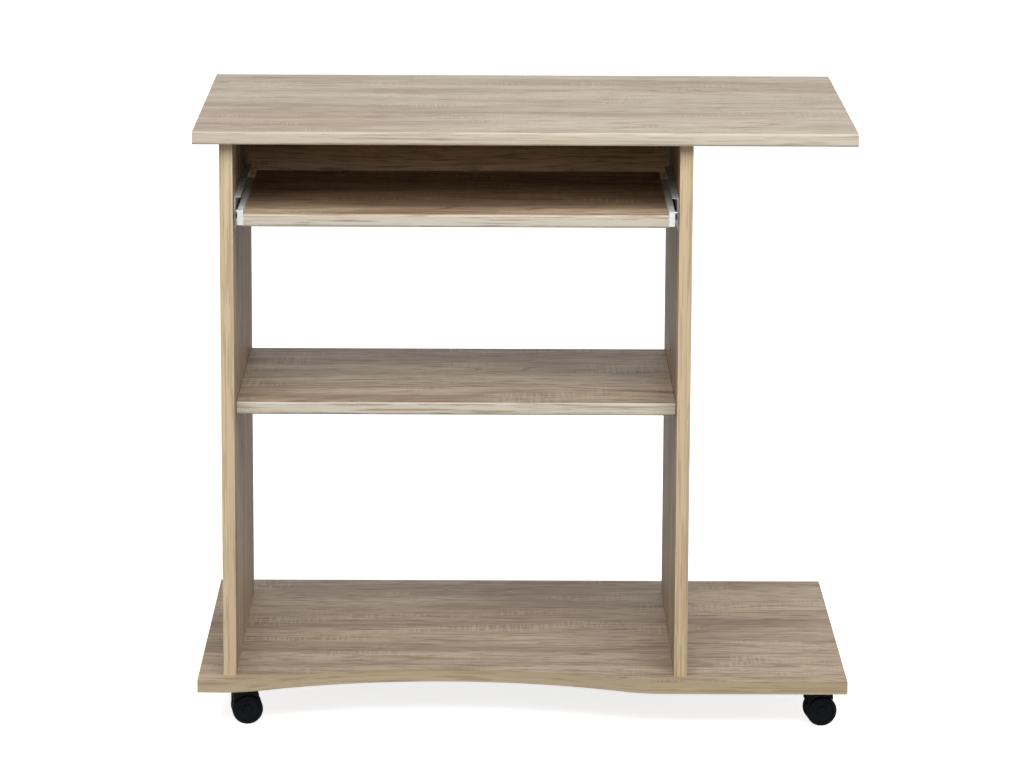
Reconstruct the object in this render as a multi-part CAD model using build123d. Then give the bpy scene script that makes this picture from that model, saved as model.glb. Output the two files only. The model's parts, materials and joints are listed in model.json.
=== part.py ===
from build123d import *
import os

# A computer desk on casters with a pull-out keyboard tray.
# Millimetres, +Z up. The front of the desk faces -Y and the origin is on the floor under the
# centre of the desktop. Boards are laminated particle board with glued edge bands.

# Boards
DESK_WIDTH = 800.0
DESK_DEPTH = 500.0
BOARD = 16.0
BAND = 0.8  # thickness of the edge bands
SOFT_RADIUS = 3.0

# Heights
DESK_HEIGHT = 748.0
CASTER_HEIGHT = 51.0
BASE_TOP = CASTER_HEIGHT + BOARD
DESKTOP_BOTTOM = DESK_HEIGHT - BOARD
SHELF_TOP = BASE_TOP + 337.0
TRAY_TOP = BASE_TOP + 577.5
RAIL_HEIGHT = 120.0

# Side panels: the left one stands near the end, the right one is set in
LEFT_INNER = -353.0
INNER_WIDTH = 540.0
RIGHT_INNER = LEFT_INNER + INNER_WIDTH
MIDDLE = LEFT_INNER + INNER_WIDTH / 2
PANEL_FRONT = -228.0
PANEL_DEPTH = 420.0
PANEL_BACK = PANEL_FRONT + PANEL_DEPTH
SHELF_FRONT = -189.0
SHELF_DEPTH = 336.0

# Concave front edge of the base board
SCALLOP_CENTRE = -98.0
SCALLOP_DEPTH = 54.0
SCALLOP_RADIUS = 585.0
SCALLOP_BLEND = 130.0  # radius that eases the hollow into the straight front

# Knock-down fittings
CAM_RADIUS = 7.5
CAM_DEPTH = 12.6
CAM_DISTANCE = 34.0  # from the cam's centre to the joint
BOLT_RADIUS = 3.5
BOLT_NECK_RADIUS = 1.9
BOLT_THREAD_RADIUS = 2.9
BOLT_THREAD_LENGTH = 10.5
DOWEL_RADIUS = 4.0
DOWEL_IN_EDGE = 19.0
DOWEL_IN_FACE = 10.5
HOLE_SPARE = 0.5  # how much deeper a blind hole is than the fitting in it
CONFIRMAT_LENGTH = 50.0
CONFIRMAT_HEAD_RADIUS = 5.0
CONFIRMAT_HEAD_HEIGHT = 2.0
CONFIRMAT_THREAD_RADIUS = 2.5
PANEL_FIXING_Y = (-180.0, 140.0)
PANEL_DOWEL_Y = (-148.0, 108.0)
SHELF_FIXING_Y = (-150.0, 108.0)
SHELF_DOWEL_Y = (-118.0, 76.0)
RAIL_DOWEL_DROP = 30.0  # dowels above and below the rail's cam
SLACK = 0.05  # room around a fitting in its hole

# Keyboard tray and its roller slides. Widths are measured from the panel's inner face.
SLIDE_GAP = 12.5
TRAY_DEPTH = 332.0
SHEET = 1.0
CABINET_RAIL_FRONT = -190.0
RAIL_LENGTH = 250.0
CABINET_RAIL_HEIGHT = 39.3
CABINET_RAIL_TOP = TRAY_TOP + 14.8
CABINET_RAIL_FLANGE = 7.6
TRACK_FLANGE = 5.0
TRACK_TOP = TRAY_TOP - 12.3
TRAY_RAIL_HEIGHT = 18.0
TRAY_RAIL_TOP = TRAY_TOP + 4.0
TRAY_RAIL_WIDTH = 7.0
FRONT_ROLLER_RADIUS = 7.7
FRONT_ROLLER_Y = -182.0
REAR_ROLLER_RADIUS = 12.0
REAR_ROLLER_Y = 12.0
ROLLER_LIFT = 0.2  # a roller's clearance from the flange that it carries or runs on
ROLLER_PIN_RADIUS = 2.0
PIN_COLLAR_RADIUS = 2.8
RIVET_FIT = 0.02  # room around a pin, stem or axle that is riveted or pressed in
FRONT_ROLLER_SPAN = (5.8, 9.2)  # the rollers' faces, measured from the panel
REAR_ROLLER_SPAN = (1.4, 4.9)
CABINET_SCREW_Y = (-160.0, -60.0, 35.0)
TRAY_SCREW_Y = (-205.0, -110.0, -12.0)

# Casters: twin wheels under a hood, turning on a stem that is riveted to a plate
CASTER_X = 356.0
CASTER_Y = 200.0
CASTER_TURN = {"front_left": 8.0, "front_right": 7.5, "rear_left": 4.0, "rear_right": -5.0}
WHEEL_RADIUS = 19.0
WHEEL_INSIDE = 6.0  # from the middle of the caster to a wheel's inner face
WHEEL_OUTSIDE = 16.0
WHEEL_TRAIL = 14.0
AXLE_RADIUS = 2.5
STEM_RADIUS = 3.5
STEM_END = 27.0
RIVET_RADIUS = 5.5  # the stem's riveted head, flush in the plate
PLATE_SIZE = 38.0
PLATE_THICKNESS = 2.0
PLATE_HOLE_SPACING = 28.0
HOOD_TOP = 46.0
HOOD_FRONT = -3.8
HOOD_BACK = 28.0
HOOD_SKIRT = 30.0  # height of the hood's lower edge in front of the wheels
HOOD_BACK_ROUND = 9.0
HOOD_FRONT_ROUND = 3.0
HOOD_EDGE_ROUND = 1.2
STEM_BOSS = 5.5
AXLE_BOSS = 6.4
HOOD_WEB = 5.5  # half the thickness of the hood's middle web
WHEEL_WELL = WHEEL_RADIUS + 0.8

# Wood screws: shank radius, length, head radius, head height
RAIL_SCREW = (1.7, 12.0, 3.2, 1.6)
CASTER_SCREW = (1.7, 12.0, 3.4, 2.0)

LOW = (Align.MIN, Align.MIN, Align.MIN)
ON_BASE = (Align.CENTER, Align.CENTER, Align.MIN)


def block(low, high):
    """A box between its lowest and its highest corner."""
    size = [b - a for a, b in zip(low, high)]
    return Pos(*low) * Box(*size, align=LOW)


def rod(plane, radius, start, end):
    """A cylinder on the plane's Z axis, from start to end."""
    return plane * Pos(0, 0, start) * Cylinder(radius, end - start, align=ON_BASE)


def taper(plane, start_radius, end_radius, start, end):
    """A truncated cone on the plane's Z axis, from start to end."""
    return plane * Pos(0, 0, start) * Cone(start_radius, end_radius, end - start, align=ON_BASE)


def save(node, *solids):
    """Write one node: a single solid, or a group of separate ones."""
    whole = solids[0] if len(solids) == 1 else Compound(children=list(solids))
    export_step(whole, f"parts/{node}.step")


def to_right(shape):
    """The right-hand copy of something at the left panel."""
    return mirror(shape, about=Plane.YZ.offset(MIDDLE))


def drilled(board, tools):
    """The board with every hole that reaches it."""
    return board - [tool for tool in tools if (board & tool)]


# ---------------------------------------------------------------- knock-down fittings


def cam_planes():
    """Where each cam lock sits: Z is the normal of its board's face, X runs to the joint."""
    planes = []
    for inner, side in ((LEFT_INNER, 1), (RIGHT_INNER, -1)):
        for y in PANEL_FIXING_Y:
            at = (inner, y, DESKTOP_BOTTOM - CAM_DISTANCE)
            planes.append(Plane(at, x_dir=(0, 0, 1), z_dir=(side, 0, 0)))
        for y in SHELF_FIXING_Y:
            at = (inner + side * CAM_DISTANCE, y, SHELF_TOP - BOARD)
            planes.append(Plane(at, x_dir=(-side, 0, 0), z_dir=(0, 0, -1)))
        at = (inner + side * CAM_DISTANCE, PANEL_BACK, DESKTOP_BOTTOM - RAIL_HEIGHT / 2)
        planes.append(Plane(at, x_dir=(-side, 0, 0), z_dir=(0, 1, 0)))
    return planes


def bolt_plane(cam):
    """The middle of the cam's board, with Z along the bolt."""
    return Plane(cam.from_local_coords((0, 0, -BOARD / 2)), z_dir=cam.x_dir)


def cam_lock(cam):
    """A round eccentric lock with a cross recess and a mouth for the bolt's head."""
    body = rod(cam, CAM_RADIUS - SLACK, -CAM_DEPTH + SLACK, -SLACK)
    mouth = rod(bolt_plane(cam), BOLT_RADIUS + 0.3, -4, CAM_RADIUS + 1)
    for turn in (0, 90):
        body -= cam * Rot(0, 0, turn) * Pos(0, 0, -1) * Box(8, 1.6, 2.4)
    return body - mouth


def cam_bolt(cam):
    """The bolt that the cam draws in, screwed into the joint's other board."""
    along = bolt_plane(cam)
    head = rod(along, BOLT_RADIUS - 0.3, -2.5, 0.5)
    neck = rod(along, BOLT_NECK_RADIUS, 0.5, CAM_RADIUS + 0.2)
    shank = rod(along, BOLT_RADIUS, CAM_RADIUS + 0.2, CAM_DISTANCE)
    thread = rod(along, BOLT_THREAD_RADIUS, CAM_DISTANCE, CAM_DISTANCE + BOLT_THREAD_LENGTH)
    return head + neck + shank + thread


def cam_holes(cam):
    """The cam's pocket, the bolt's bore and the hole for its thread."""
    along = bolt_plane(cam)
    pocket = rod(cam, CAM_RADIUS, -CAM_DEPTH, 1)
    bore = rod(along, BOLT_RADIUS + SLACK, 0, CAM_DISTANCE)
    thread_end = CAM_DISTANCE + BOLT_THREAD_LENGTH + HOLE_SPARE
    thread = rod(along, BOLT_THREAD_RADIUS + SLACK, CAM_DISTANCE, thread_end)
    return [pocket, bore, thread]


def dowel_planes():
    """Where each dowel crosses a joint: Z points into the board that it enters by the face."""
    planes = []
    for inner, side in ((LEFT_INNER, 1), (RIGHT_INNER, -1)):
        middle = inner - side * BOARD / 2
        for y in PANEL_DOWEL_Y:
            planes.append(Plane((middle, y, DESKTOP_BOTTOM), z_dir=(0, 0, 1)))
            planes.append(Plane((middle, y, BASE_TOP), z_dir=(0, 0, -1)))
        for y in SHELF_DOWEL_Y:
            planes.append(Plane((inner, y, SHELF_TOP - BOARD / 2), z_dir=(-side, 0, 0)))
        for drop in (-RAIL_DOWEL_DROP, RAIL_DOWEL_DROP):
            height = DESKTOP_BOTTOM - RAIL_HEIGHT / 2 + drop
            planes.append(Plane((inner, PANEL_BACK - BOARD / 2, height), z_dir=(-side, 0, 0)))
    return planes


def dowel(plane):
    """A beech dowel with chamfered ends."""
    body = rod(plane, DOWEL_RADIUS - SLACK, -DOWEL_IN_EDGE, DOWEL_IN_FACE)
    return chamfer(body.edges().filter_by(GeomType.CIRCLE), 0.8)


def dowel_hole(plane):
    return rod(plane, DOWEL_RADIUS, -DOWEL_IN_EDGE - HOLE_SPARE, DOWEL_IN_FACE + HOLE_SPARE)


def confirmat_planes():
    """Screws driven up through the base board into the panels' lower edges."""
    centres = (LEFT_INNER - BOARD / 2, RIGHT_INNER + BOARD / 2)
    return [Plane((x, y, CASTER_HEIGHT), z_dir=(0, 0, 1)) for x in centres for y in PANEL_FIXING_Y]


def confirmat_screw(plane):
    """A one-piece connector: countersunk head, plain shank, thinner threaded end."""
    head_end = CONFIRMAT_HEAD_HEIGHT + 0.1
    tip_start = CONFIRMAT_LENGTH - 2
    head = taper(plane, CONFIRMAT_HEAD_RADIUS, BOLT_RADIUS, 0.1, head_end)
    shank = rod(plane, BOLT_RADIUS, head_end, BOARD - 1)
    thread = rod(plane, CONFIRMAT_THREAD_RADIUS, BOARD - 1, tip_start)
    tip = taper(plane, CONFIRMAT_THREAD_RADIUS, 1.0, tip_start, CONFIRMAT_LENGTH)
    socket = extrude(plane * RegularPolygon(2.0, 6), 3)
    return head + shank + thread + tip - socket


def confirmat_holes(plane):
    sink_radius = CONFIRMAT_HEAD_RADIUS + 0.1 + SLACK
    sink = taper(plane, sink_radius, BOLT_RADIUS + SLACK, 0, CONFIRMAT_HEAD_HEIGHT + 0.1)
    through = rod(plane, BOLT_RADIUS + SLACK, 0, BOARD)
    thread = rod(plane, CONFIRMAT_THREAD_RADIUS + SLACK, BOARD, CONFIRMAT_LENGTH + HOLE_SPARE)
    return [sink, through, thread]


def wood_screw(plane, sizes):
    """A pan-head screw driven along Z, with its head's underside on the plane."""
    radius, length, head_radius, head_height = sizes
    tip_start = length - 3
    head = taper(plane, head_radius - 0.6, head_radius, -head_height, 0)
    shank = rod(plane, radius, 0, tip_start)
    tip = taper(plane, radius, 0.3, tip_start, length)
    slot = plane * Pos(0, 0, -head_height) * Box(2 * radius, 0.8, head_height)
    cross_slot = plane * Pos(0, 0, -head_height) * Box(0.8, 2 * radius, head_height)
    return head + shank + tip - slot - cross_slot


def screw_hole(plane, sizes):
    radius, length = sizes[:2]
    return rod(plane, radius + SLACK, -2, length + HOLE_SPARE)


# ---------------------------------------------------------------- keyboard slides, left side


def cabinet_screw_planes():
    """The fixed rail's screws, through the strip below its track into the left panel."""
    height = CABINET_RAIL_TOP - CABINET_RAIL_HEIGHT + 6
    return [Plane((LEFT_INNER + SHEET, y, height), z_dir=(-1, 0, 0)) for y in CABINET_SCREW_Y]


def tray_screw_planes():
    """The moving rail's screws, through its web into the tray's left edge."""
    edge = LEFT_INNER + SLIDE_GAP
    height = TRAY_TOP - BOARD / 2
    return [Plane((edge - SHEET, y, height), z_dir=(1, 0, 0)) for y in TRAY_SCREW_Y]


def front_roller_plane():
    """The fixed roller's axis, from the panel's face towards the tray."""
    height = TRAY_RAIL_TOP - SHEET - ROLLER_LIFT - FRONT_ROLLER_RADIUS
    return Plane((LEFT_INNER, FRONT_ROLLER_Y, height), z_dir=(1, 0, 0))


def rear_roller_plane():
    """The moving roller's axis, resting just above the fixed rail's track."""
    height = TRACK_TOP + ROLLER_LIFT + REAR_ROLLER_RADIUS
    return Plane((LEFT_INNER, REAR_ROLLER_Y, height), z_dir=(1, 0, 0))


def cabinet_rail():
    """The fixed rail: a web on the panel, a top flange, the track's flange and a rear stop."""
    x, front, top = LEFT_INNER, CABINET_RAIL_FRONT, CABINET_RAIL_TOP
    back = front + RAIL_LENGTH
    bottom = top - CABINET_RAIL_HEIGHT
    web = block((x, front, bottom), (x + SHEET, back, top))
    flange = block((x, front, top - SHEET), (x + CABINET_RAIL_FLANGE, back, top))
    track_flange = block((x, front, TRACK_TOP - SHEET), (x + TRACK_FLANGE, back, TRACK_TOP))
    stop = block((x, back - SHEET, TRACK_TOP - SHEET), (x + TRACK_FLANGE, back, top))
    pin_hole = rod(front_roller_plane(), ROLLER_PIN_RADIUS + RIVET_FIT, -1, SHEET + 1)
    holes = [screw_hole(plane, RAIL_SCREW) for plane in cabinet_screw_planes()]
    return web + flange + track_flange + stop - [pin_hole, *holes]


def tray_rail():
    """The moving rail: a channel open towards the panel, with its front end folded shut."""
    edge = LEFT_INNER + SLIDE_GAP
    inner, top = edge - TRAY_RAIL_WIDTH, TRAY_RAIL_TOP
    front, back, bottom = PANEL_FRONT, PANEL_FRONT + RAIL_LENGTH, top - TRAY_RAIL_HEIGHT
    web = block((edge - SHEET, front, bottom), (edge, back, top))
    upper = block((inner, front, top - SHEET), (edge, back, top))
    lower = block((inner, front, bottom), (edge, back, bottom + SHEET))
    end = block((inner, front, bottom), (edge, front + SHEET, top))
    pin_hole = rod(rear_roller_plane(), ROLLER_PIN_RADIUS + RIVET_FIT, SLIDE_GAP - 2, SLIDE_GAP + 1)
    holes = [screw_hole(plane, RAIL_SCREW) for plane in tray_screw_planes()]
    return web + upper + lower + end - [pin_hole, *holes]


def roller(plane, radius, start, end):
    """A nylon roller with eased rims and a shallow dish in its open face."""
    body = rod(plane, radius, start, end)
    body = fillet(body.edges().filter_by(GeomType.CIRCLE), 0.5)
    dish = rod(plane, radius - 1.8, end - 0.6, end) - rod(plane, ROLLER_PIN_RADIUS + 1.4, end - 0.6, end)
    return body - dish - rod(plane, ROLLER_PIN_RADIUS + SLACK, start, end)


def front_roller():
    return roller(front_roller_plane(), FRONT_ROLLER_RADIUS, *FRONT_ROLLER_SPAN)


def rear_roller():
    return roller(rear_roller_plane(), REAR_ROLLER_RADIUS, *REAR_ROLLER_SPAN)


def front_roller_pin():
    """Riveted in the fixed rail: a collar, the roller's journal and a thin head."""
    plane = front_roller_plane()
    start, end = FRONT_ROLLER_SPAN
    journal = rod(plane, ROLLER_PIN_RADIUS, 0, end + 0.4)
    collar = rod(plane, PIN_COLLAR_RADIUS, SHEET, start - 0.2)
    head = rod(plane, PIN_COLLAR_RADIUS, end + 0.1, end + 0.4)
    return journal + collar + head


def rear_roller_pin():
    """Riveted in the moving rail: a collar and the roller's journal."""
    plane = rear_roller_plane()
    start, end = REAR_ROLLER_SPAN
    journal = rod(plane, ROLLER_PIN_RADIUS, start, SLIDE_GAP)
    return journal + rod(plane, PIN_COLLAR_RADIUS, end + 0.2, SLIDE_GAP - SHEET)


# ---------------------------------------------------------------- casters, stem on the Z axis


def caster_screw_planes():
    """The screws of one caster, driven up through its plate."""
    half = PLATE_HOLE_SPACING / 2
    height = CASTER_HEIGHT - PLATE_THICKNESS
    return [Plane((x, y, height), z_dir=(0, 0, 1)) for x in (-half, half) for y in (-half, half)]


def caster_plate():
    """A square steel plate with rounded corners and a countersunk hole for the stem."""
    z = CASTER_HEIGHT - PLATE_THICKNESS
    plate = Pos(0, 0, z) * Box(PLATE_SIZE, PLATE_SIZE, PLATE_THICKNESS, align=ON_BASE)
    plate = fillet(plate.edges().filter_by(Axis.Z), 4)
    holes = [screw_hole(plane, CASTER_SCREW) for plane in caster_screw_planes()]
    sink = taper(Plane.XY, STEM_RADIUS + RIVET_FIT, RIVET_RADIUS + RIVET_FIT, z, CASTER_HEIGHT)
    return plate - [sink, *holes]


def caster_stem():
    """The swivel stem, riveted flush in the plate, with a chamfered lower end."""
    z = CASTER_HEIGHT - PLATE_THICKNESS
    shank = chamfer(rod(Plane.XY, STEM_RADIUS, STEM_END, z).edges().sort_by(Axis.Z)[0], 0.8)
    return shank + taper(Plane.XY, STEM_RADIUS, RIVET_RADIUS, z, CASTER_HEIGHT)


def axle_plane():
    """The wheels' axle, with Z along it."""
    return Plane((WHEEL_TRAIL, 0, WHEEL_RADIUS), z_dir=(0, 1, 0))


def caster_hood():
    """A moulded hood over both wheels, with a web between them that holds the stem and axle."""
    low = WHEEL_RADIUS + 3
    shell = Polyline((HOOD_FRONT, HOOD_SKIRT), (HOOD_FRONT, HOOD_TOP), (HOOD_BACK, HOOD_TOP),
                     (HOOD_BACK, low + 9), (WHEEL_TRAIL, low), close=True)
    fender = extrude(Plane.XZ * make_face(shell), WHEEL_OUTSIDE, both=True)
    top_edges = fender.edges().filter_by(Axis.Y).sort_by(Axis.Z)[-2:].sort_by(Axis.X)
    fender = fillet(top_edges[1], HOOD_BACK_ROUND)
    front_edge = fender.edges().filter_by(Axis.Y).sort_by(Axis.Z)[-2:].sort_by(Axis.X)[0]
    fender = fillet(front_edge, HOOD_FRONT_ROUND)
    outer_edges = fender.edges().filter_by(lambda edge: edge.bounding_box().size.Y < 0.01)
    fender = fillet(outer_edges, HOOD_EDGE_ROUND)
    between = Cylinder(WHEEL_WELL, WHEEL_OUTSIDE - HOOD_WEB + 2)
    shift = (WHEEL_OUTSIDE + HOOD_WEB) / 2 + 1
    wells = [axle_plane() * Pos(0, 0, side * shift) * between for side in (-1, 1)]
    rib = Polyline((HOOD_FRONT, HOOD_TOP - 4), (HOOD_BACK, HOOD_TOP - 10), (HOOD_BACK, low + 9),
                   (WHEEL_TRAIL + 6, WHEEL_RADIUS - 3), (WHEEL_TRAIL - 5, WHEEL_RADIUS - 4),
                   (HOOD_FRONT - 1.4, WHEEL_RADIUS + 1), close=True)
    web = extrude(Plane.XZ * make_face(rib), HOOD_WEB, both=True)
    axle_boss = rod(axle_plane(), AXLE_BOSS, -HOOD_WEB, HOOD_WEB)
    stem_boss = rod(Plane.XY, STEM_BOSS, STEM_END - 3, CASTER_HEIGHT - PLATE_THICKNESS - 0.4)
    socket = rod(Plane.XY, STEM_RADIUS + SLACK, STEM_END - 0.4, CASTER_HEIGHT)
    axle_hole = rod(axle_plane(), AXLE_RADIUS + RIVET_FIT, -HOOD_WEB - 1, HOOD_WEB + 1)
    return fender - wells + web + axle_boss + stem_boss - socket - axle_hole


def caster_axle():
    reach = WHEEL_OUTSIDE - 1.8
    axle = rod(axle_plane(), AXLE_RADIUS, -reach, reach)
    return chamfer(axle.edges().filter_by(GeomType.CIRCLE), 0.5)


def caster_wheel(side):
    """One wheel: rounded tread, dished outer face, raised hub over a blind bore."""
    bore, inside, outside, radius = AXLE_RADIUS + SLACK, WHEEL_INSIDE, WHEEL_OUTSIDE, WHEEL_RADIUS
    half = Polyline((bore, inside), (radius - 0.8, inside), (radius, inside + 0.8),
                    (radius, outside - 3))
    shoulder = RadiusArc((radius, outside - 3), (radius - 2.4, outside - 0.4), 3)
    face = Polyline((radius - 2.4, outside - 0.4), (radius - 4.5, outside - 0.2),
                    (radius - 5.5, outside - 1.6), (6.2, outside - 1.6), (5.4, outside),
                    (0, outside), (0, outside - 1.5), (bore, outside - 1.5), (bore, inside))
    section = make_face([half, shoulder, face])
    wheel = revolve(section, Axis.Y)
    turn = Rot(0, 0, 0) if side > 0 else Rot(0, 0, 180)
    return Pos(WHEEL_TRAIL, 0, WHEEL_RADIUS) * turn * wheel


# ---------------------------------------------------------------- boards


def soft_front(x_low, x_high, front, back, bottom):
    """A board along X whose front edge is rounded top and bottom."""
    board = block((x_low, front, bottom), (x_high, back, bottom + BOARD))
    return fillet(board.edges().filter_by(Axis.X).sort_by(Axis.Y)[:2], SOFT_RADIUS)


def banded_soft_board(x_low, x_high, front, back, bottom):
    """A soft-fronted board's core and the bands on its two ends and its back edge."""
    core = soft_front(x_low + BAND, x_high - BAND, front, back - BAND, bottom)
    ends = [soft_front(x, x + BAND, front, back - BAND, bottom) for x in (x_low, x_high - BAND)]
    rear = block((x_low, back - BAND, bottom), (x_high, back, bottom + BOARD))
    return core, [*ends, rear]


def base_outline():
    """The base board's plan: a rectangle with a shallow hollow in its front edge."""
    front = -DESK_DEPTH / 2
    hollow = Pos(SCALLOP_CENTRE, front - SCALLOP_RADIUS + SCALLOP_DEPTH) * Circle(SCALLOP_RADIUS)
    plan = Rectangle(DESK_WIDTH, DESK_DEPTH) - hollow
    corners = [v for v in plan.vertices() if abs(v.Y - front) < 1 and abs(v.X) < DESK_WIDTH / 2 - 1]
    return fillet(corners, SCALLOP_BLEND)


def base_pieces():
    """The base board's core and its four edge bands; the front band follows the hollow."""
    plan = base_outline()
    inner = plan & (Pos(0, BAND, 0) * plan)
    half_width, back = DESK_WIDTH / 2 - BAND, DESK_DEPTH / 2 - BAND
    window = Pos(0, (back - DESK_DEPTH / 2) / 2) * Rectangle(2 * half_width, back + DESK_DEPTH / 2)
    core = extrude(Pos(0, 0, CASTER_HEIGHT) * (inner & window), BOARD)
    front = extrude(Pos(0, 0, CASTER_HEIGHT) * (plan - inner), BOARD)
    top = CASTER_HEIGHT + BOARD
    ends = [block((x, BAND - DESK_DEPTH / 2, CASTER_HEIGHT), (x + BAND, back, top))
            for x in (-DESK_WIDTH / 2, half_width)]
    rear = block((-DESK_WIDTH / 2, back, CASTER_HEIGHT), (DESK_WIDTH / 2, back + BAND, top))
    return core, [*front.solids(), *ends, rear]


def panel_pieces(x_low):
    """A side panel's core and the bands on its front and back edges."""
    x_high = x_low + BOARD
    core = block((x_low, PANEL_FRONT + BAND, BASE_TOP), (x_high, PANEL_BACK - BAND, DESKTOP_BOTTOM))
    bands = [block((x_low, y, BASE_TOP), (x_high, y + BAND, DESKTOP_BOTTOM))
             for y in (PANEL_FRONT, PANEL_BACK - BAND)]
    return core, bands


def shelf_pieces():
    """The shelf's core, tight between the panels, and its back band."""
    back, bottom = SHELF_FRONT + SHELF_DEPTH, SHELF_TOP - BOARD
    core = soft_front(LEFT_INNER, RIGHT_INNER, SHELF_FRONT, back - BAND, bottom)
    return core, [block((LEFT_INNER, back - BAND, bottom), (RIGHT_INNER, back, SHELF_TOP))]


def back_rail_pieces():
    """The rail under the desktop, flush with the panels' backs, and its lower band."""
    front, bottom = PANEL_BACK - BOARD, DESKTOP_BOTTOM - RAIL_HEIGHT
    core = block((LEFT_INNER, front, bottom + BAND), (RIGHT_INNER, PANEL_BACK, DESKTOP_BOTTOM))
    return core, [block((LEFT_INNER, front, bottom), (RIGHT_INNER, PANEL_BACK, bottom + BAND))]


# ---------------------------------------------------------------- assembly


def write_boards():
    """Every board, drilled for the fittings that reach it, and its bands."""
    holes = [hole for cam in cam_planes() for hole in cam_holes(cam)]
    holes += [dowel_hole(plane) for plane in dowel_planes()]
    holes += [hole for plane in confirmat_planes() for hole in confirmat_holes(plane)]
    slide_holes = [screw_hole(p, RAIL_SCREW) for p in cabinet_screw_planes() + tray_screw_planes()]
    holes += slide_holes + [to_right(hole) for hole in slide_holes]
    caster_holes = [screw_hole(plane, CASTER_SCREW) for plane in caster_screw_planes()]
    holes += [caster_place(name, False) * hole for name in CASTER_TURN for hole in caster_holes]
    half_width, half_depth = DESK_WIDTH / 2, DESK_DEPTH / 2
    tray = (LEFT_INNER + SLIDE_GAP, RIGHT_INNER - SLIDE_GAP, PANEL_FRONT, PANEL_FRONT + TRAY_DEPTH)
    boards = {
        "desktop": banded_soft_board(-half_width, half_width, -half_depth, half_depth, DESKTOP_BOTTOM),
        "base_board": base_pieces(),
        "side_panel_left": panel_pieces(LEFT_INNER - BOARD),
        "side_panel_right": panel_pieces(RIGHT_INNER),
        "shelf": shelf_pieces(),
        "back_rail": back_rail_pieces(),
        "keyboard_tray": banded_soft_board(*tray, TRAY_TOP - BOARD),
    }
    for name, (core, bands) in boards.items():
        save(name, drilled(core, holes))
        save(name + "_edge_band", *[drilled(band, holes) for band in bands])


def write_fittings():
    """The fittings that hold the boards together, each kind in one node."""
    save("cam_locks", *[cam_lock(cam) for cam in cam_planes()])
    save("cam_bolts", *[cam_bolt(cam) for cam in cam_planes()])
    save("wood_dowels", *[dowel(plane) for plane in dowel_planes()])
    save("confirmat_screws", *[confirmat_screw(plane) for plane in confirmat_planes()])


def write_slides():
    """Both slides; the right-hand one mirrors the left-hand one."""
    pieces = {
        "cabinet_rail": cabinet_rail(),
        "tray_rail": tray_rail(),
        "front_roller": front_roller(),
        "front_roller_pin": front_roller_pin(),
        "rear_roller": rear_roller(),
        "rear_roller_pin": rear_roller_pin(),
    }
    for name, piece in pieces.items():
        save(name + "_left", piece)
        save(name + "_right", to_right(piece))
    for name, planes in (("cabinet_rail_screws", cabinet_screw_planes()),
                         ("tray_rail_screws", tray_screw_planes())):
        left = [wood_screw(plane, RAIL_SCREW) for plane in planes]
        save(name, *left, *[to_right(screw) for screw in left])


def caster_place(name, turned=True):
    """Where a caster's stem stands, and how far its hood is turned at rest."""
    x = CASTER_X if name.endswith("right") else -CASTER_X
    y = CASTER_Y if name.startswith("rear") else -CASTER_Y
    return Pos(x, y, 0) * Rot(0, 0, CASTER_TURN[name] if turned else 0)


def write_casters():
    """Four casters: the plate and stem are fixed, and the hood, axle and wheels turn."""
    fixed = {"plate": caster_plate(), "stem": caster_stem()}
    turning = {
        "hood": caster_hood(),
        "axle": caster_axle(),
        "wheel_near": caster_wheel(-1),
        "wheel_far": caster_wheel(1),
    }
    screws = [wood_screw(plane, CASTER_SCREW) for plane in caster_screw_planes()]
    all_screws = []
    for name in CASTER_TURN:
        for piece, shape in fixed.items():
            save(f"caster_{name}_{piece}", caster_place(name, False) * shape)
        for piece, shape in turning.items():
            save(f"caster_{name}_{piece}", caster_place(name) * shape)
        all_screws += [caster_place(name, False) * screw for screw in screws]
    save("caster_screws", *all_screws)


os.makedirs("parts", exist_ok=True)
write_boards()
write_fittings()
write_slides()
write_casters()
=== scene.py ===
import json
import math

import bpy
from mathutils import Matrix, Vector


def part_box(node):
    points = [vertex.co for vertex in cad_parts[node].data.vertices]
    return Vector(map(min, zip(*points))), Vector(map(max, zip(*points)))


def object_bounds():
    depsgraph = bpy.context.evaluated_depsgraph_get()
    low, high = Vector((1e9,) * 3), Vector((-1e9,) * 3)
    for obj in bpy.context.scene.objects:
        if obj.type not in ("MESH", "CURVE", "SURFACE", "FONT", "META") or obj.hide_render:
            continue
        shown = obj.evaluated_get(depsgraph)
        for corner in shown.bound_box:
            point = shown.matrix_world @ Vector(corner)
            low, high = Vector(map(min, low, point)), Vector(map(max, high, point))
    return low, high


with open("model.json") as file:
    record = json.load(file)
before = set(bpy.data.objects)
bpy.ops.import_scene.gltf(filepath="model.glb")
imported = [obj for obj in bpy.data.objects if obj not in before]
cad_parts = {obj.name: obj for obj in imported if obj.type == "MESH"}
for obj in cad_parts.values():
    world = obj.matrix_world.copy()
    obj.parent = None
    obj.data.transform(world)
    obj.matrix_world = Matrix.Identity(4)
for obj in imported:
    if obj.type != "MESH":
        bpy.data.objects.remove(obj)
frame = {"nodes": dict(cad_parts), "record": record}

# The looks of a computer desk on casters. Everything is in metres in the CAD frame:
# +Z up, the front towards -Y, the floor at the height of the desk's lowest point.

CAD_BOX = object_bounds()
NODES = frame["nodes"]
BOARDS = ("desktop", "base_board", "side_panel_left", "side_panel_right", "shelf", "back_rail",
          "keyboard_tray")
SOFT_FORMED = {"desktop", "keyboard_tray", "shelf"}     # boards with a rounded front edge


# ---------------------------------------------------------------- colours


def linear(r, g, b):
    """A colour given as 0..255 display values, in Blender's linear values."""
    def channel(value):
        value /= 255
        return value / 12.92 if value <= 0.04045 else ((value + 0.055) / 1.055) ** 2.4
    return (channel(r), channel(g), channel(b), 1.0)


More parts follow.
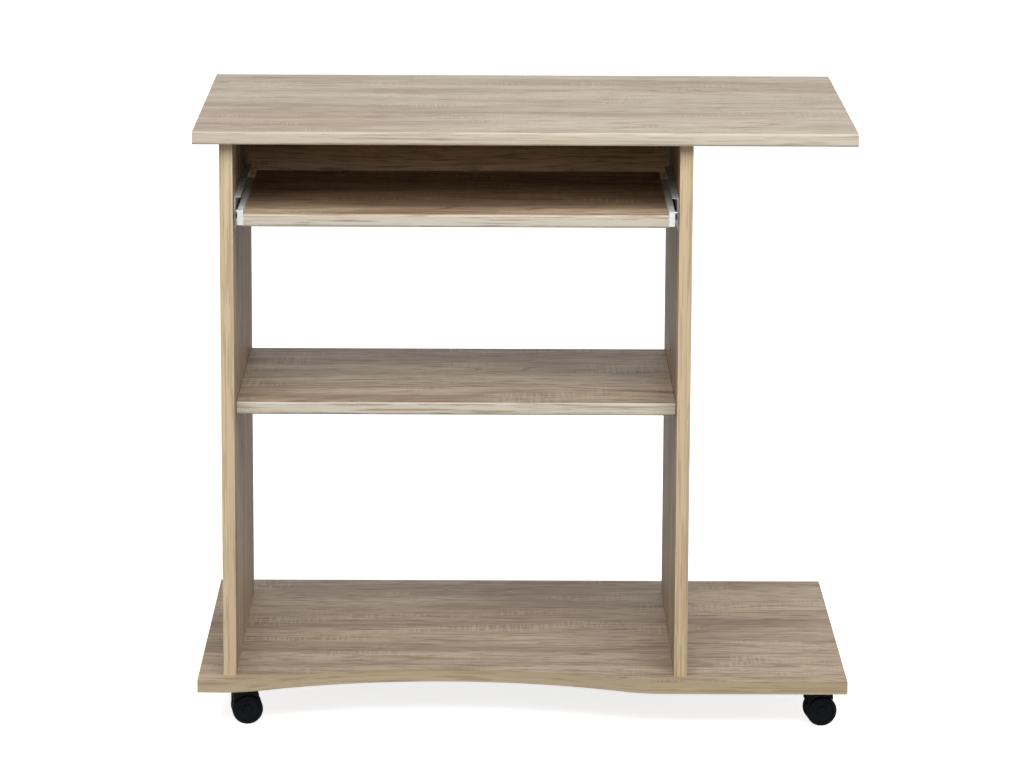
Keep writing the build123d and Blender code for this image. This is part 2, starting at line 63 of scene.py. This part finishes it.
# a tone holds the light, middle and dark colours of a wood print
TOP_TONE = (linear(191, 179, 159), linear(173, 157, 137), linear(108, 85, 65))
INNER_TONE = (linear(190, 172, 146), linear(169, 148, 123), linear(98, 72, 50))
# the tray's lighter, warmer tone is painted light: it lifts the tray top, which lies in the desktop's
# shade
TRAY_LIT_TONE = (linear(212, 189, 160), linear(192, 166, 138), linear(112, 80, 56))
# the back rail's darker, redder tone is painted shade, for the rail that sits in the desktop's shadow
RAIL_SHADED_TONE = (linear(184, 155, 122), linear(164, 134, 102), linear(92, 62, 40))
# the soft front is the same laminate as the top; its paler, greyer tone is painted light, for the front
# that catches the light
SOFT_FRONT_LIT_TONE = (linear(209, 200, 183), linear(199, 187, 168), linear(144, 124, 98))
BAND_TONE = (linear(218, 199, 168), linear(203, 180, 146), linear(150, 122, 88))
BASE_BAND_TONE = (linear(191, 174, 145), linear(176, 155, 124), linear(134, 108, 76))
ROSY_CLOUD = linear(138, 109, 87)
# painted shade: the colour of the fine dark line at the shelf's ends, for the shadow in the gap where
# the shelf meets a side panel
JOINT_SHADE_COLOUR = linear(52, 38, 28)

FACE_TONES = {"desktop": TOP_TONE, "keyboard_tray": TRAY_LIT_TONE, "back_rail": RAIL_SHADED_TONE}
FACE_CONTRASTS = {"desktop": 0.95, "keyboard_tray": 1.3, "shelf": 1.35, "base_board": 1.35}
OTHER_FACE_CONTRAST = 1.1
BAND_CONTRAST = 0.9


# ---------------------------------------------------------------- node helpers


class Shader:
    """A material's node tree, with short calls for the nodes that this scene uses."""

    def __init__(self, name):
        self.material = bpy.data.materials.new(name)
        self.material.use_nodes = True
        self.tree = self.material.node_tree
        self.tree.nodes.clear()
        self.surface = self.add("ShaderNodeBsdfPrincipled")
        output = self.add("ShaderNodeOutputMaterial")
        self.tree.links.new(self.surface.outputs["BSDF"], output.inputs["Surface"])

    def add(self, kind, **settings):
        node = self.tree.nodes.new(kind)
        for key, value in settings.items():
            setattr(node, key, value)
        return node

    def put(self, socket, value):
        """Link an output to a socket, or set the socket's own value."""
        if isinstance(value, bpy.types.NodeSocket):
            self.tree.links.new(value, socket)
        else:
            socket.default_value = value

    def math(self, operation, first, second=0.0, third=0.0):
        node = self.add("ShaderNodeMath", operation=operation)
        for socket, value in zip(node.inputs, (first, second, third)):
            self.put(socket, value)
        return node.outputs[0]

    def ramp(self, value, low, high, start=0.0, end=1.0):
        """Map value smoothly from low..high to start..end, held at both ends."""
        node = self.add("ShaderNodeMapRange", interpolation_type="SMOOTHSTEP")
        for socket, number in zip(node.inputs, (value, low, high, start, end)):
            self.put(socket, number)
        return node.outputs[0]

    def mix(self, share, first, second):
        """The first colour with a share of the second."""
        node = self.add("ShaderNodeMix", data_type="RGBA")
        self.put(node.inputs[0], share)
        self.put(node.inputs[6], first)
        self.put(node.inputs[7], second)
        return node.outputs[2]

    def stain(self, colour, feature, low, high, share, tint):
        """The colour with a tint that reaches its share where the feature rises from low to high."""
        return self.mix(self.ramp(feature, low, high, 0.0, share), colour, tint)

    def separate(self, vector):
        node = self.add("ShaderNodeSeparateXYZ")
        self.put(node.inputs[0], vector)
        return node.outputs[0], node.outputs[1], node.outputs[2]

    def combine(self, x, y, z):
        node = self.add("ShaderNodeCombineXYZ")
        for socket, value in zip(node.inputs, (x, y, z)):
            self.put(socket, value)
        return node.outputs[0]

    def place(self):
        """The point on the piece, in metres, which moves with the piece."""
        return self.add("ShaderNodeTexCoord").outputs["Object"]

    def noise(self, vector, scale=1.0, detail=2.0, roughness=0.5):
        node = self.add("ShaderNodeTexNoise")
        self.put(node.inputs["Vector"], vector)
        self.put(node.inputs["Scale"], scale)
        self.put(node.inputs["Detail"], detail)
        self.put(node.inputs["Roughness"], roughness)
        return node.outputs[0]

    def bump(self, height, strength, distance):
        node = self.add("ShaderNodeBump")
        self.put(node.inputs["Height"], height)
        self.put(node.inputs["Strength"], strength)
        self.put(node.inputs["Distance"], distance)
        return node.outputs[0]

    def finish(self, **sockets):
        for name, value in sockets.items():
            self.put(self.surface.inputs[name.replace("_", " ")], value)
        return self.material


# ---------------------------------------------------------------- wood

SEED_SHIFT_ALONG = 3.7          # metres from one board's print to the next one's
SEED_SHIFT_ACROSS = 1.3
BAND_STRETCH = 0.45             # an edge's lines are longer than a face's
BAND_FLATTEN = 0.04             # and hardly change across it, so that they follow the board
# between these the face's print blends into the front's plainer print and paler tone, which is painted
# light
SOFT_FRONT_STARTS = 0.0020      # metres behind the front edge: the face's print ends here
SOFT_FRONT_IS_FULL = 0.0014     # and the front's own print covers all from here on
WANDER = 0.016                  # metres that the grain strays sideways
GROWTH_LINES_A_METRE = 62.0
GROWTH_WAVES = 13.0             # lines that the waves of the field add
# painted shade at the shelf's ends, for the shadow in the gaps at the side panels:
JOINT_SHADE_STARTS = 0.0012           # metres from the end of a board that butts against a panel
JOINT_SHADE_IS_FULL = 0.0006
JOINT_SHADE_SHARE = 0.8

# the share of its own colour that each feature of the print reaches, at a contrast of one
CLOUD_SHARE = 0.45
LATE_WOOD_SHARE = 0.48
BROAD_SHARE = 0.32
COARSE_SHARE = 0.40
FINE_SHARE = 0.46
FIBRE_SHARE = 0.24
TICK_SHARE = 0.42               # the same at every contrast


class Grain:
    """Coordinates along, across and through the wood, and noise that is stretched with it."""

    def __init__(self, shader, along, across, through):
        self.shader = shader
        self.along = along
        self.across = across
        self.through = through

    def noise(self, along_scale, side_scale, **settings):
        """Noise with so many cells a metre along the grain, and so many in the other two ways."""
        scaled = self.shader.combine(self.shader.math("MULTIPLY", self.along, along_scale),
                                     self.shader.math("MULTIPLY", self.across, side_scale),
                                     self.shader.math("MULTIPLY", self.through, side_scale))
        return self.shader.noise(scaled, **settings)


def lay_grain(shader, axes, seed, edge, is_band):
    """The grain of one print, on axes that run along, across and through the wood.

    edge is the share of the soft front's print, or None on a board without one."""
    along, across, through = axes
    along = shader.math("ADD", along, SEED_SHIFT_ALONG * seed)
    across = shader.math("ADD", across, SEED_SHIFT_ACROSS * seed)
    if edge is not None:
        along = shader.math("MULTIPLY", along, shader.math("MULTIPLY_ADD", edge, BAND_STRETCH - 1, 1.0))
    if is_band:
        along = shader.math("MULTIPLY", along, BAND_STRETCH)
        across = shader.math("MULTIPLY", across, BAND_FLATTEN)

    # a slow wander, so that no line runs dead straight
    wander = Grain(shader, along, across, through).noise(2.4, 6.0, detail=2.0)
    wander = shader.math("MULTIPLY_ADD", wander, WANDER, -WANDER / 2)
    return Grain(shader, along, shader.math("ADD", across, wander), through)


def growth_lines(shader, grain):
    """Late wood: contours of a stretched field, which close into flames, in scattered patches."""
    field = grain.noise(1.7, 9.0, detail=1.0)
    sideways = shader.math("ADD", grain.across, grain.through)
    level = shader.math("ADD", shader.math("MULTIPLY", field, GROWTH_WAVES),
                        shader.math("MULTIPLY", sideways, GROWTH_LINES_A_METRE))
    phase = shader.math("FRACT", level)
    line = shader.math("MULTIPLY", shader.ramp(phase, 0.80, 0.95), shader.ramp(phase, 1.0, 0.97))
    patches = shader.ramp(grain.noise(2.4, 15.0, detail=1.0), 0.42, 0.60)
    return shader.math("MULTIPLY", line, patches)


def saw_marks(shader, grain, figure):
    """Rows of short pale ticks across the grain."""
    rows = shader.ramp(grain.noise(8.0, 26.0, detail=1.0), 0.55, 0.66)
    ticks = shader.ramp(grain.noise(400.0, 16.0, detail=0.0), 0.46, 0.60)
    return shader.math("MULTIPLY", shader.math("MULTIPLY", ticks, rows), figure)


def paint_joint_shade(shader, colour, x, ends):
    """The colour with a fine dark line of painted shade at both ends of a board, given by their X: the
    shadow in the gap where the board butts against a panel.
    """
    middle = (ends[0] + ends[1]) / 2
    half = (ends[1] - ends[0]) / 2
    distance = shader.math("ABSOLUTE", shader.math("SUBTRACT", x, middle))
    return shader.stain(colour, distance, half - JOINT_SHADE_STARTS, half - JOINT_SHADE_IS_FULL,
                        JOINT_SHADE_SHARE, JOINT_SHADE_COLOUR)


def sonoma_oak(name, vertical, seed, tone, contrast, figure=1.0, front=None, ends=None):
    """Printed sonoma oak: brown streaks, scattered growth lines and short pale saw marks.

    vertical boards have their grain along Z and the others along X. figure is the share of
    growth lines, clouds, broad streaks and saw marks: an edge band is too narrow to show any.
    front is the Y of a soft front edge, which has a plainer print, and a paler tone that is painted
    light for the front that catches the light. ends are the X of two ends that butt against panels,
    where a fine dark line of painted shade stands for the shadow in the gap at the joint."""
    shader = Shader(name)
    x, y, z = shader.separate(shader.place())
    edge = None
    if front is not None:
        edge = shader.ramp(y, front + SOFT_FRONT_STARTS, front + SOFT_FRONT_IS_FULL)
    grain = lay_grain(shader, (z, y, x) if vertical else (x, y, z), seed, edge, is_band=not figure)

    # wide bands of lighter and browner wood, and larger clouds of a redder brown
    bands = grain.noise(1.2, 24.0, detail=2.0)
    clouds = grain.noise(2.2, 15.0, detail=1.0)

    # streaks and fibres: the cells of their noise are 9, 4, 2 and 0.6 millimetres wide
    broad = grain.noise(6.0, 115.0, detail=4.0, roughness=0.6)
    coarse = grain.noise(9.0, 270.0, detail=2.0, roughness=0.6)
    fine = grain.noise(24.0, 420.0, detail=2.0, roughness=0.65)
    fibres = grain.noise(40.0, 1700.0, detail=1.0)

    late_wood = growth_lines(shader, grain)
    ticks = saw_marks(shader, grain, figure)

    light, middle, dark = tone
    # the soft front: a plainer print, and a paler tone that is painted light for the front face that
    # catches the light
    if front is not None:
        light, middle, dark = [shader.mix(edge, face_colour, lit_front_colour)
                               for face_colour, lit_front_colour in zip(tone, SOFT_FRONT_LIT_TONE)]
        on_face = shader.math("SUBTRACT", 1.0, edge)
        late_wood, clouds, ticks, broad = [shader.math("MULTIPLY", feature, on_face)
                                           for feature in (late_wood, clouds, ticks, broad)]

    # the coarse streaks are fainter in the lighter bands
    shown = contrast * figure
    coarse_share = shader.math("MULTIPLY", shader.ramp(coarse, 0.54, 0.62, 0.0, COARSE_SHARE * contrast),
                               shader.ramp(bands, 0.64, 0.34, 0.45, 1.0))
    colour = shader.mix(shader.ramp(bands, 0.32, 0.66), middle, light)
    colour = shader.stain(colour, clouds, 0.46, 0.66, CLOUD_SHARE * shown, ROSY_CLOUD)
    colour = shader.mix(shader.math("MULTIPLY", late_wood, LATE_WOOD_SHARE * shown), colour, dark)
    colour = shader.stain(colour, broad, 0.54, 0.62, BROAD_SHARE * shown, dark)
    colour = shader.mix(coarse_share, colour, dark)
    colour = shader.stain(colour, fine, 0.54, 0.62, FINE_SHARE * contrast, dark)
    colour = shader.stain(colour, fibres, 0.58, 0.78, FIBRE_SHARE * contrast, dark)
    colour = shader.mix(shader.math("MULTIPLY", ticks, TICK_SHARE), colour, light)
    # painted shade: a fine dark line at each end of the shelf, where the gap at the side panel lies in
    # shadow
    if ends is not None:
        colour = paint_joint_shade(shader, colour, x, ends)

    # fine streaks and fibres are pressed in, and the saw marks stand up
    relief = shader.math("ADD", shader.math("MULTIPLY", fine, -0.6),
                         shader.math("MULTIPLY", fibres, -0.4))
    relief = shader.math("ADD", relief, shader.math("MULTIPLY", ticks, 0.35))
    return shader.finish(Base_Color=colour, Roughness=shader.ramp(fine, 0.3, 0.7, 0.44, 0.60),
                         Specular_IOR_Level=0.28,
                         Normal=shader.bump(relief, strength=0.35, distance=0.0002))


# ---------------------------------------------------------------- metal, plastic and dowels


def coated_steel(name):
    """Pale epoxy coating with a faint orange-peel skin and dull handling marks."""
    shader = Shader(name)
    place = shader.place()
    cloud = shader.noise(place, scale=60.0, detail=3.0)
    peel = shader.noise(place, scale=2600.0, detail=1.0)
    colour = shader.mix(shader.ramp(cloud, 0.3, 0.75), linear(232, 235, 233), linear(208, 212, 212))
    return shader.finish(Base_Color=colour, Roughness=shader.ramp(cloud, 0.3, 0.7, 0.26, 0.40),
                         Metallic=0.0, Normal=shader.bump(peel, strength=0.25, distance=0.00005))


def zinc(name, light, dark, rough):
    """Zinc with a mottled tone and a fine grain."""
    shader = Shader(name)
    place = shader.place()
    mottle = shader.noise(place, scale=420.0, detail=3.0, roughness=0.6)
    grain = shader.noise(place, scale=2600.0, detail=2.0)
    colour = shader.mix(shader.ramp(mottle, 0.35, 0.70), light, dark)
    return shader.finish(Base_Color=colour, Roughness=shader.ramp(grain, 0.3, 0.7, rough, rough + 0.16),
                         Metallic=1.0, Normal=shader.bump(grain, strength=0.2, distance=0.00004))


def nylon(name, light, dark, rough, spark, gloss=0.5):
    """Moulded nylon: an almost even colour with a spark-eroded texture."""
    shader = Shader(name)
    place = shader.place()
    texture = shader.noise(place, scale=spark, detail=2.0, roughness=0.6)
    wear = shader.noise(place, scale=70.0, detail=3.0, roughness=0.6)
    colour = shader.mix(shader.ramp(wear, 0.35, 0.75), light, dark)
    return shader.finish(Base_Color=colour, Roughness=shader.ramp(wear, 0.3, 0.7, rough, rough + 0.14),
                         Specular_IOR_Level=gloss,
                         Normal=shader.bump(texture, strength=0.4, distance=0.00008))


def beech(name):
    """Raw beech with small darker flecks."""
    shader = Shader(name)
    place = shader.place()
    flecks = shader.noise(place, scale=900.0, detail=2.0)
    colour = shader.mix(shader.ramp(flecks, 0.4, 0.7), linear(214, 180, 138), linear(176, 136, 96))
    return shader.finish(Base_Color=colour, Roughness=shader.ramp(flecks, 0.3, 0.7, 0.55, 0.7),
                         Normal=shader.bump(flecks, strength=0.3, distance=0.0001))


# ---------------------------------------------------------------- finishes on the nodes


def is_vertical(board):
    return board.startswith("side_panel")


def dress(node, material):
    mesh = NODES[node].data
    mesh.materials.clear()
    mesh.materials.append(material)


def front_edge(board):
    """The Y of a soft-formed board's front edge."""
    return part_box(board)[0].y if board in SOFT_FORMED else None


def butted_ends(board):
    """The X of the shelf's ends, which meet the side panels."""
    if board != "shelf":
        return None
    low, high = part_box(board)
    return low.x, high.x


def band_tone(board):
    # the soft-formed fronts' edge bands take the paler tone that is painted light
    if board in SOFT_FORMED:
        return SOFT_FRONT_LIT_TONE
    return BASE_BAND_TONE if board == "base_board" else BAND_TONE


def finish_boards():
    for seed, board in enumerate(BOARDS, start=1):
        face = sonoma_oak(board + "_laminate", is_vertical(board), seed,
                          tone=FACE_TONES.get(board, INNER_TONE),
                          contrast=FACE_CONTRASTS.get(board, OTHER_FACE_CONTRAST),
                          front=front_edge(board), ends=butted_ends(board))
        dress(board, face)
        band = sonoma_oak(board + "_band", is_vertical(board), seed + 0.5, tone=band_tone(board),
                          contrast=BAND_CONTRAST, figure=0.0)
        dress(board + "_edge_band", band)


def finish_hardware():
    by_slot = {
        "slide_steel": coated_steel("coated_steel"),
        "zinc_steel": zinc("zinc_plate", linear(206, 208, 212), linear(168, 171, 178), rough=0.24),
        "cam_zinc": zinc("cast_zinc", linear(172, 173, 176), linear(132, 134, 140), rough=0.38),
        "roller_nylon": nylon("white_nylon", linear(232, 230, 222), linear(214, 211, 200),
                              rough=0.34, spark=1800.0),
        "caster_plastic": nylon("black_nylon", linear(12, 16, 18), linear(8, 11, 12),
                                rough=0.5, spark=1500.0, gloss=0.12),
        "beech": beech("raw_beech"),
    }
    for piece in frame["record"]["subparts"]:
        if piece["material_slot"] in by_slot:
            dress(piece["node"], by_slot[piece["material_slot"]])


# ---------------------------------------------------------------- studio

KEY_POWER = 190.0               # watts
TOP_POWER = 6.0
FRONT_FILL = 0.0                # how strongly the white surroundings light the desk
BACK_FILL = 0.85
FILL_STARTS = -0.2              # the Y of a direction up to which it has the front's strength
FILL_IS_FULL = 0.8              # and from which it has the back's
FLOOR_HALF = 12.0
FLOOR_PAPER = linear(250, 250, 250)
FLOOR_BOUNCE = linear(165, 165, 165)    # a duller paper for the light it throws on the desk
FLOOR_GLOW = 0.8                # lifts the paper that the camera sees to near white
WHITE = (1.0, 1.0, 1.0, 1.0)


def floor():
    """A plain pale sheet under the desk."""
    mesh = bpy.data.meshes.new("floor")
    height = CAD_BOX[0].z
    corners = [(x * FLOOR_HALF, y * FLOOR_HALF, height) for x, y in ((-1, -1), (1, -1), (1, 1), (-1, 1))]
    mesh.from_pydata(corners, [], [(0, 1, 2, 3)])
    sheet = bpy.data.objects.new("floor", mesh)
    bpy.context.scene.collection.objects.link(sheet)
    shader = Shader("floor_paper")
    path = shader.add("ShaderNodeLightPath")
    tone = shader.mix(path.outputs["Is Diffuse Ray"], FLOOR_PAPER, FLOOR_BOUNCE)
    glow = shader.math("MULTIPLY", path.outputs["Is Camera Ray"], FLOOR_GLOW)
    mesh.materials.append(shader.finish(Base_Color=tone, Roughness=0.9, Emission_Color=WHITE,
                                        Emission_Strength=glow))


def aim(thing, target):
    thing.rotation_euler = (Vector(target) - thing.location).to_track_quat("-Z", "Y").to_euler()


def soft_box(name, place, target, width, height, power):
    light = bpy.data.lights.new(name, "AREA")
    light.shape = "RECTANGLE"
    light.size = width
    light.size_y = height
    light.energy = power
    lamp = bpy.data.objects.new(name, light)
    bpy.context.scene.collection.objects.link(lamp)
    lamp.location = place
    aim(lamp, target)


def surroundings():
    """White behind everything; only a part of it lights the desk, most from behind."""
    world = bpy.data.worlds.new("studio")
    bpy.context.scene.world = world
    world.use_nodes = True
    tree = world.node_tree
    background = tree.nodes["Background"]
    background.inputs["Color"].default_value = WHITE
    direction = tree.nodes.new("ShaderNodeSeparateXYZ")
    tree.links.new(tree.nodes.new("ShaderNodeTexCoord").outputs["Generated"], direction.inputs[0])
    fill = tree.nodes.new("ShaderNodeMapRange")
    tree.links.new(direction.outputs[1], fill.inputs[0])
    limits = (FILL_STARTS, FILL_IS_FULL, FRONT_FILL, BACK_FILL)
    for socket, value in zip(list(fill.inputs)[1:], limits):
        socket.default_value = value
    path = tree.nodes.new("ShaderNodeLightPath")
    strength = tree.nodes.new("ShaderNodeMix")
    tree.links.new(path.outputs["Is Diffuse Ray"], strength.inputs[0])
    strength.inputs[2].default_value = 1.0
    tree.links.new(fill.outputs[0], strength.inputs[3])
    tree.links.new(strength.outputs[0], background.inputs["Strength"])


def lights():
    surroundings()
    soft_box("key", place=(0.2, -2.85, 3.05), target=(0, 0, 0.45), width=5.0, height=2.4,
             power=KEY_POWER)
    soft_box("top", place=(0.0, 0.3, 3.2), target=(0, 0, 0.6), width=2.6, height=2.0,
             power=TOP_POWER)


# ---------------------------------------------------------------- camera

CAMERA_PLACE = (-0.0430, -5.5743, 1.5556)
YAW = 0.0053                    # radians to the right of +Y
PITCH = 0.2065                  # radians downwards
ROLL = 0.0047
SENSOR_WIDTH = 36.0             # millimetres
LENS = 157.7
FARTHEST_SEEN = 100.0


def camera():
    """A standing viewer's place, a little left of the middle, with a long lens."""
    data = bpy.data.cameras.new("camera")
    view = bpy.data.objects.new("camera", data)
    bpy.context.scene.collection.objects.link(view)
    level = math.cos(PITCH)
    forward = Vector((math.sin(YAW) * level, math.cos(YAW) * level, -math.sin(PITCH)))
    right = Vector((math.cos(YAW), -math.sin(YAW), 0.0))
    up = right.cross(forward)
    rolled_right = math.cos(ROLL) * right + math.sin(ROLL) * up
    rolled_up = rolled_right.cross(forward)
    rotation = Matrix((rolled_right, rolled_up, -forward)).transposed()
    view.matrix_world = Matrix.Translation(CAMERA_PLACE) @ rotation.to_4x4()
    data.sensor_width = SENSOR_WIDTH
    data.lens = LENS
    data.clip_end = FARTHEST_SEEN
    bpy.context.scene.camera = view


# ---------------------------------------------------------------- the scene

camera()
finish_boards()
finish_hardware()
floor()
lights()
bpy.context.scene.view_settings.view_transform = "Standard"
